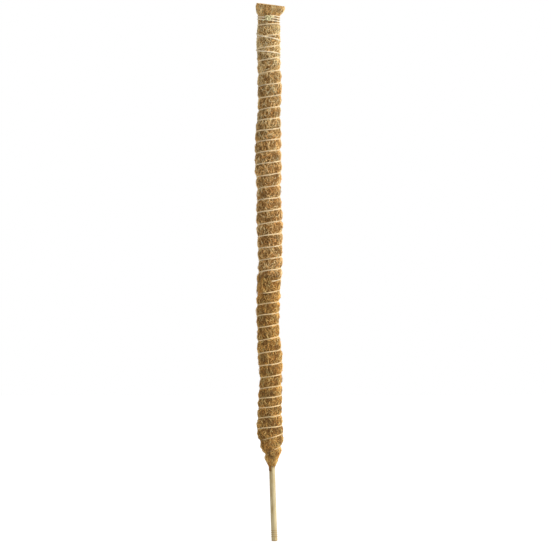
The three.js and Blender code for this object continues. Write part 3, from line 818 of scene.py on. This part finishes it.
# Paths that wander over the coir, by their middles, slants from upright, lengths and bends
def wander(angle, z, slant, length, bend):
    count = len(angle)
    swing = rng.normal(0, SWING, (count, 1))
    ripple = swing * np.sin(TAU * (RIPPLES * FIBRE_SHARE + rng.uniform(0, 1, (count, 1))))
    heading = slant[:, None] + bend[:, None] * (FIBRE_SHARE - 0.5) + ripple
    step = length[:, None] / (FIBRE_POINTS - 1)
    across = np.cumsum(np.sin(heading) * step, axis=1)
    up = np.cumsum(np.cos(heading) * step, axis=1)
    around = np.maximum(sampled(radius_grid, angle, z), LEAST_AROUND)[:, None]
    path_angle = angle[:, None] + (across - across.mean(axis=1, keepdims=True)) / around
    path_z = z[:, None] + up - up.mean(axis=1, keepdims=True)
    return path_angle, path_z


# Moves whole paths so that they end at the cut top and at the coir's foot
def kept_on_coir(path_angle, path_z, past_top, past_foot):
    point = placed(path_angle, sampled(radius_grid, path_angle, path_z), path_z)
    over = (path_z - top_height(point[..., 0], point[..., 1])).max(axis=1) - past_top
    under = COIR_FOOT - past_foot - path_z.min(axis=1)
    return path_z + (np.maximum(under, 0) - np.maximum(over, 0))[:, None]


# Lays paths on the coir: lifted in the middle, tucked in at both ends, pressed down beside the twine
def laid(path_angle, path_z, lift, tuck, pressed):
    arch = np.sin(math.pi * FIBRE_SHARE) ** ARCH_POWER
    height = lift[:, None] * arch - tuck[:, None] * (1 - arch)
    away = smooth(sampled(clear_grid, path_angle, path_z), PRESS_CLEAR, PRESS_FREE)
    press = between(1, between(PRESS_LEAST, 1, away), pressed)
    loose = between(FOOT_LOOSENESS, 1, smooth(path_z, COIR_FOOT, COIR_FOOT + FOOT_RUN))
    radius = sampled(radius_grid, path_angle, path_z) - sunk(path_angle, path_z) + height * press * loose
    return placed(path_angle, radius, path_z)


# Thickness along a fibre as a share of its full one, of which it loses some towards both tips
def tapered(loss, power=1):
    return 1 - loss * np.abs(2 * FIBRE_SHARE - 1) ** power


# Values of whole locks, repeated for their members
def for_members(values):
    return np.repeat(values, LOCK_MEMBERS)


# Locks are bundles of fibres that run together. Each member strays a little from its lock.
def add_locks(
    angle, z, slant, length, lift, width, thick=LOCK_THICKNESS, pressed=1.0, hang=(0, 2), pale=0.0
):
    each = len(angle) * LOCK_MEMBERS
    mixed = rng.choice(LOCK_MIXING, each)
    tint = np.clip(for_members(tint_numbers(angle, z, lift, pale)) + mixed, 0, len(TINT_LIMITS))
    bend = for_members(rng.normal(0, 0.5, len(angle))) + rng.normal(0, 0.3, each)
    slants = for_members(slant) + rng.normal(0, 0.14, each)
    aside = for_members(width) * rng.normal(0, 1, each)
    ahead = for_members(length) * rng.uniform(-0.16, 0.16, each)
    around = for_members(np.maximum(sampled(radius_grid, angle, z), LEAST_AROUND))
    angles = for_members(angle) + (aside * np.cos(slants) + ahead * np.sin(slants)) / around
    heights = for_members(z) - aside * np.sin(slants) + ahead * np.cos(slants)
    lengths = for_members(length) * rng.uniform(0.7, 1.1, each)
    path_angle, path_z = wander(angles, heights, slants, lengths, bend)
    past_top = rng.uniform(-0.8, 0.3, each)
    path_z = kept_on_coir(path_angle, path_z, past_top, past_foot=rng.uniform(*hang, each))
    lifts = for_members(lift) + rng.uniform(-0.2, 0.35, each)
    paths = laid(path_angle, path_z, lifts, tuck=rng.uniform(0.1, 0.6, each), pressed=pressed)
    radii = rng.uniform(*thick, each)[:, None] * tapered(loss=0.55, power=3)
    fibre_lots.append((paths, radii, tint))


# Single fibres that lie crisscross over the whole mat, darker than the locks over them: painted shade in
# the gaps between the locks
def felt(count):
    angle = rng.uniform(0, TAU, count)
    z = rng.uniform(COIR_FOOT + 1, COIR_TOP - 1, count)
    lift = rng.uniform(0.1, 0.9, count)
    slant = rng.uniform(-1.5, 1.5, count)
    length = rng.uniform(8, 20, count)
    path_angle, path_z = wander(angle, z, slant, length, bend=rng.normal(0, 1.1, count))
    past_top = rng.uniform(-0.8, 0.2, count)
    path_z = kept_on_coir(path_angle, path_z, past_top, past_foot=rng.uniform(0, 2, count))
    paths = laid(path_angle, path_z, lift, tuck=rng.uniform(0, 0.3, count), pressed=1.0)
    radii = rng.uniform(0.09, 0.17, count)[:, None] * tapered(loss=0.3)
    # Made darker as painted shade under the locks
    fibre_lots.append((paths, radii, tint_numbers(angle, z, lift, pale=-0.2)))


def body_locks(count):
    crosswise_share = 0.35
    crosswise = rng.random(count) < crosswise_share
    slant = np.where(crosswise, rng.uniform(-1.5, 1.5, count), rng.normal(0, 0.6, count))
    add_locks(
        angle=rng.uniform(0, TAU, count),
        z=rng.uniform(COIR_FOOT + 8, TIE_FOOT - 4, count),
        slant=slant,
        length=rng.uniform(4, 12, count),
        lift=2.0 * rng.random(count) ** 1.5,
        width=rng.uniform(0.15, 0.42, count),
        # Paler than the felt under them: painted light on the raised locks
        pale=0.08,
    )


def collar_locks(count):
    add_locks(
        angle=rng.uniform(0, TAU, count),
        z=rng.uniform(TIE_TOP + 4, COIR_TOP - 4, count),
        slant=rng.normal(0, 0.35, count),
        length=rng.uniform(10, 22, count),
        lift=1.2 * rng.random(count),
        width=rng.uniform(0.25, 0.6, count),
    )


def neck_locks(count):
    add_locks(
        angle=rng.uniform(0, TAU, count),
        z=rng.uniform(COIR_FOOT + 2, COIR_FOOT + 40, count),
        slant=rng.normal(0, 0.25, count),
        length=rng.uniform(10, 20, count),
        lift=0.9 * rng.random(count),
        width=rng.uniform(0.25, 0.5, count),
        hang=(0, 5),
        # Paler: partly the neck's own golden fibres, partly painted light against the shade from the
        # bulge above
        pale=0.15,
    )


# A flap of the lower mat that covers part of two turns on the left of the lap
def flap_locks(count):
    add_locks(
        angle=rng.uniform(0.5 * TAU, 0.68 * TAU, count),
        z=rng.uniform(LAP_FOOT - 12, LAP_TOP, count),
        slant=rng.normal(0.1, 0.45, count),
        length=rng.uniform(16, 28, count),
        lift=rng.uniform(2.2, 3.2, count),
        width=rng.uniform(0.3, 0.7, count),
        pressed=0.0,
        pale=-0.55,
    )


# A wisp that hangs down beside the cane
def wisp_locks(count):
    add_locks(
        angle=rng.uniform(0.56 * TAU, 0.7 * TAU, count),
        z=rng.uniform(COIR_FOOT - 4, COIR_FOOT, count),
        slant=rng.normal(0, 0.08, count),
        length=rng.uniform(12, 18, count),
        lift=rng.uniform(2, 5, count),
        width=rng.uniform(0.2, 0.4, count),
        thick=(0.14, 0.24),
        hang=(7, 11),
        pale=-1.6,
    )


# Single hairs whose tips stand off the coir
def hairs(count):
    angle = rng.uniform(0, TAU, count)
    z = rng.uniform(COIR_FOOT + 2, COIR_TOP - 2, count)
    stand = rng.uniform(0.6, 3.0, count) * rng.uniform(0.4, 1, count)
    slant = rng.uniform(0, TAU, count)
    length = rng.uniform(6, 18, count)
    path_angle, path_z = wander(angle, z, slant, length, bend=rng.normal(0, 1, count))
    past_top = rng.uniform(-0.5, 1.2, count)
    path_z = kept_on_coir(path_angle, path_z, past_top, past_foot=np.zeros(count))
    root_depth = 0.4
    rise = FIBRE_SHARE**1.6
    height = -root_depth + (stand[:, None] + root_depth) * rise
    radius = sampled(radius_grid, path_angle, path_z) - sunk(path_angle, path_z) + height
    radii = rng.uniform(0.07, 0.12, count)[:, None] * between(1, HAIR_TIP, FIBRE_SHARE)
    # Hairs that stand higher are paler: painted light
    fibre_lots.append((placed(path_angle, radius, path_z), radii, tint_numbers(angle, z, stand)))


# Random angles and radii on the cut top
def cut_places(count):
    angle = rng.uniform(0, TAU, count)
    return angle, CUT_REACH * np.sqrt(rng.uniform(0.01, 1, count))


# Fibres that lie crisscross on the cut top
def cut_felt(count):
    angle, radius = cut_places(count)
    heading = rng.uniform(0, TAU, (count, 1)) + rng.normal(0, 1.2, (count, 1)) * FIBRE_SHARE
    length = rng.uniform(5, 15, (count, 1))
    step = length / (FIBRE_POINTS - 1)
    x = (radius * np.cos(angle))[:, None] + np.cumsum(np.cos(heading) * step, axis=1)
    y = (radius * np.sin(angle))[:, None] + np.cumsum(np.sin(heading) * step, axis=1)
    reach = np.hypot(x, y)
    held = np.minimum(CUT_REACH / np.maximum(reach, 1), 1)
    x = TOP_X + held * x
    y = TOP_Y + held * y
    dish = np.where(reach.max(axis=1) < CORE_RADIUS, CORE_DISH, 0)[:, None]
    lift = rng.uniform(0.1, 0.8, count)
    arch = lift[:, None] * np.sin(math.pi * FIBRE_SHARE)
    bedding = 0.6
    paths = np.stack([x, y, top_height(x, y) - dish - bedding + arch], axis=-1)
    radii = np.tile(rng.uniform(0.1, 0.18, count)[:, None], FIBRE_POINTS)
    fibre_lots.append((paths, radii, tint_numbers(angle, paths[:, 0, 2], lift)))


# Short ends that stand up on the cut top
def stubble(count):
    angle, radius = cut_places(count)
    x = TOP_X + radius * np.cos(angle)
    y = TOP_Y + radius * np.sin(angle)
    dish = np.where(radius < CORE_RADIUS, CORE_DISH, 0)
    buried = 2.2
    foot = top_height(x, y) - dish - buried
    height = rng.uniform(1.4, 2.4, count)
    lean = rng.normal(0, 0.9, (count, 2))
    paths = np.zeros((count, FIBRE_POINTS, 3))
    paths[..., 0] = x[:, None] + lean[:, :1] * FIBRE_SHARE**2
    paths[..., 1] = y[:, None] + lean[:, 1:] * FIBRE_SHARE**2
    paths[..., 2] = foot[:, None] + height[:, None] * FIBRE_SHARE
    radii = np.tile(rng.uniform(0.11, 0.2, count)[:, None], FIBRE_POINTS)
    # Taller ends are paler, with their height over the shortest seen counted as lift: painted light
    shortest_seen = 1.3
    fibre_lots.append((paths, radii, tint_numbers(angle, foot, height - shortest_seen)))


def make_fibres():
    paths, radii, tints = (np.concatenate(lots) for lots in zip(*fibre_lots))
    parts = np.digitize(paths[:, :, 2].mean(axis=1), [LAP_TOP, (LAP_TOP + COIR_TOP) / 2])
    for part_number, (part, tones) in enumerate(PART_TONES.items()):
        for number, (tint, colour) in enumerate(TINT_COLOURS.items()):
            mine = (parts == part_number) & (tints == number)
            toned = [level * tone for level, tone in zip(colour, tones)]
            material = fibre_material(f"{part}_coir_{tint}", toned, patch=60, grain=700)
            mesh = tubes(paths[mine], radii[mine], FIBRE_SIDES)
            mesh_piece(f"{part}_fibres_{tint}", *mesh, material, "coir_outer")


felt(count=15000)
body_locks(count=7000)
collar_locks(count=360)
neck_locks(count=170)
flap_locks(count=40)
wisp_locks(count=9)
hairs(count=2400)
cut_felt(count=900)
stubble(count=900)
make_fibres()


# Twine

def evenly(path, spacing):
    lengths = np.linalg.norm(np.diff(path, axis=0), axis=1)
    travelled = np.concatenate([[0], np.cumsum(lengths)])
    stops = np.linspace(0, travelled[-1], math.ceil(travelled[-1] / spacing) + 1)
    return np.stack([np.interp(stops, travelled, path[:, axis]) for axis in range(3)], axis=1), stops


# Plies twisted together along a path
def twisted(path):
    even, travelled = evenly(path, PLY_STEP)
    _, out, aside = path_frames(even[None])
    plies = []
    for ply in range(PLIES):
        turn = TAU * (travelled / PLY_TWIST + ply / PLIES)
        spoke = np.cos(turn)[:, None] * out[0] + np.sin(turn)[:, None] * aside[0]
        plies.append(even + PLY_OFFSET * spoke)
    swell = 1 + waves(travelled, PLY_SWELLS)
    return tubes(np.stack(plies), np.tile(PLY_RADIUS * swell, (PLIES, 1)), PLY_SIDES)


# Fine hairs that stand off a twine
def twine_hairs(path):
    even, _ = evenly(path, HAIR_SPACING)
    along, out, aside = path_frames(even[None])
    turn = rng.uniform(0, TAU, len(even))[:, None]
    side = np.cos(turn) * out[0] + np.sin(turn) * aside[0]
    length = rng.uniform(0.8, 2.4, (len(even), 1, 1))
    lean = rng.normal(0, 1.2, (len(even), 1, 1))
    share = np.linspace(0, 1, HAIR_POINTS)[:, None]
    sideways = (HAIR_ROOT + length * share) * side[:, None]
    paths = even[:, None] + sideways + lean * share**2 * along[0][:, None]
    radii = HAIR_RADIUS * between(1, HAIR_TIP, share[:, 0])
    return tubes(paths, np.tile(radii, (len(even), 1)), FIBRE_SIDES)


def twine_piece(name, paths, material, node):
    lots = [twisted(path) for path in paths]
    lots.extend(twine_hairs(path) for path in paths)
    piece = mesh_piece(name, *joined(lots), material, "twine")
    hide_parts(node)


# Ends of a twine go under the coir over a small part of a turn
def tucked(turns, first, last):
    return TUCK_DEPTH * (1 - smooth(turns - first, 0, TUCK_RUN) * smooth(last - turns, 0, TUCK_RUN))


# In the neck the twine shows on the right and sinks into the coir on the left
def seated(angle, z):
    neck_seat = NECK_SEAT + np.cos(angle)
    return sampled(radius_grid, angle, z) + between(SEAT, neck_seat, necked(z))


# Share of a crossing, by the height between two twines
def crossed(distance):
    return smooth(CROSSING_REACH - distance, 0, CROSSING_REACH)


def winding_path(first, straight, last):
    turns = np.linspace(first, last, math.ceil((last - first) * WINDING_POINTS))
    flat = np.maximum(turns - straight, 0)
    z = winding_height(np.minimum(turns, straight)) + LAST_PITCH * flat + waves(turns, SLACKS)
    pressed = CROSSING_SINK * crossed(to_lace(TAU * turns, z))
    return placed(TAU * turns, seated(TAU * turns, z) - pressed - tucked(turns, first, last), z)


# First step of the main winding at some height or above it
def turn_at(height):
    turns = np.arange(0, MOST_TURNS, TURN_STEP)
    return turns[np.argmax(winding_height(turns) >= height)]


# Height between a point and the next turn of the main winding at the same angle.
# Turns that would come in the tie's place don't count.
def to_winding(angle, z):
    turns = np.arange(0, MOST_TURNS) + ((angle / TAU) % 1)[:, None]
    heights = winding_height(turns)
    heights[heights > TIE_FOOT - TIE_PITCH] = 0
    return np.abs(heights - z[:, None]).min(axis=1)


# The tie winds down the other way, in close turns and then in open ones over the winding.
# Its start is under the knot, so only its lower end is tucked in.
def tie_path():
    turns = np.linspace(TIE_START - TIE_TURNS, LACE_TURNS, TIE_POINTS)
    z = tie_height(turns)
    angle = FRONT + TAU * (turns + TIE_TURNS)
    lifted = (2 * TWINE_RADIUS - CROSSING_SINK) * crossed(to_winding(angle, z))
    sink = TAIL_SINK * smooth(turns, 0, TAIL_SINK_RUN)
    tuck = tucked(turns, -TIE_TURNS - 1, LACE_TURNS)
    return placed(angle, seated(angle, z) + lifted - sink - tuck, z)


# A trefoil knot drawn tight on the front of the tie, with two short tails
def knot_paths():
    z = np.float64((TIE_TOP + TIE_FOOT) / 2)
    middle = placed(FRONT, sampled(radius_grid, np.float64(FRONT), z) + KNOT_STAND, z)
    turn = np.linspace(0, TAU, KNOT_POINTS)
    across = KNOT_WIDTH * (np.sin(turn) + 2 * np.sin(2 * turn))
    deep = -KNOT_DEPTH * np.sin(3 * turn)
    up = KNOT_HEIGHT * (np.cos(turn) - 2 * np.cos(2 * turn))
    share = np.linspace(0, 1, TAIL_POINTS)[:, None]
    paths = [np.stack([across, deep, up], axis=1)]
    paths.extend(share * reach + share**2 * bend for reach, bend in KNOT_TAILS)
    return [middle + path for path in paths]


lap_turn = turn_at(LAP_FOOT + LAP_TWINE)
straight_turn = turn_at(TIE_FOOT - TIE_PITCH - LAST_PITCH * LAST_TURNS) - TURN_STEP
lower_path = winding_path(LEAD_IN, lap_turn, lap_turn - LAP_GAP)
upper_path = winding_path(lap_turn, straight_turn, straight_turn + LAST_TURNS)
twine_piece("lower_binding", [lower_path], LOWER_TWINE, "lower_twine")
twine_piece("upper_binding", [upper_path], UPPER_TWINE, "upper_twine")
twine_piece("tie_binding", [tie_path()], TIE_TWINE, "top_tie")
twine_piece("knot", knot_paths(), KNOT_TWINE, "top_knot")


# Floor, light and camera, in metres

WHITE = (1, 1, 1, 1)
FLOOR_SIZE = 12
FLOOR_COLOUR = (0.8, 0.8, 0.8, 1)
FLOOR_GLOW = (0.4, 0.4, 0.4, 1)
WORLD_STRENGTH = 0.45
CAMERA_PLACE = (0.0017, -5, 0.4437)
CAMERA_LENS = 195.5  # in millimetres, and so is the sensor
CAMERA_SENSOR = 36


# Marks the rays that should see a white background: straight, mirrored or through glass
def seen_rays(nodes, links):
    path = nodes.new("ShaderNodeLightPath")
    marked = path.outputs["Is Camera Ray"]
    for ray in ("Is Glossy Ray", "Is Transmission Ray"):
        larger = nodes.new("ShaderNodeMath")
        larger.operation = "MAXIMUM"
        links.new(marked, larger.inputs[0])
        links.new(path.outputs[ray], larger.inputs[1])
        marked = larger.outputs["Value"]
    return marked


def stage_floor():
    bpy.ops.mesh.primitive_plane_add(size=FLOOR_SIZE)
    floor = bpy.context.object
    floor.name = "floor"
    material, nodes, links = blank_material("floor")
    shader = nodes["Principled BSDF"]
    shader.inputs["Base Color"].default_value = FLOOR_COLOUR
    shader.inputs["Roughness"].default_value = 1
    shader.inputs["Specular IOR Level"].default_value = 0
    shader.inputs["Emission Color"].default_value = FLOOR_GLOW
    links.new(seen_rays(nodes, links), shader.inputs["Emission Strength"])
    floor.data.materials.append(material)


def studio_world():
    world = bpy.data.worlds.new("studio")
    bpy.context.scene.world = world
    world.use_nodes = True
    nodes = world.node_tree.nodes
    links = world.node_tree.links
    soft = nodes["Background"]
    soft.inputs["Color"].default_value = WHITE
    soft.inputs["Strength"].default_value = WORLD_STRENGTH
    white = nodes.new("ShaderNodeBackground")
    white.inputs["Color"].default_value = WHITE
    white.inputs["Strength"].default_value = 1
    chosen = nodes.new("ShaderNodeMixShader")
    links.new(seen_rays(nodes, links), chosen.inputs["Fac"])
    links.new(soft.outputs["Background"], chosen.inputs[1])
    links.new(white.outputs["Background"], chosen.inputs[2])
    links.new(chosen.outputs["Shader"], nodes["World Output"].inputs["Surface"])


def distant_lamp(name, towards, spread, strength):
    data = bpy.data.lights.new(name, "SUN")
    data.angle = math.radians(spread)
    data.energy = strength
    lamp = bpy.data.objects.new(name, data)
    lamp.rotation_mode = "QUATERNION"
    lamp.rotation_quaternion = Vector(towards).to_track_quat("Z", "Y")
    bpy.context.scene.collection.objects.link(lamp)


def photo_camera():
    data = bpy.data.cameras.new("camera")
    data.lens = CAMERA_LENS
    data.sensor_width = CAMERA_SENSOR
    camera = bpy.data.objects.new("camera", data)
    camera.location = CAMERA_PLACE
    camera.rotation_euler = (math.pi / 2, 0, 0)
    bpy.context.scene.collection.objects.link(camera)
    bpy.context.scene.camera = camera


stage_floor()
studio_world()
distant_lamp("key", towards=(2.1, -0.5, 1.0), spread=20, strength=3.5)
distant_lamp("fill", towards=(-1.0, -2.0, 0.9), spread=50, strength=0.3)
photo_camera()
bpy.context.scene.view_settings.view_transform = "Standard"
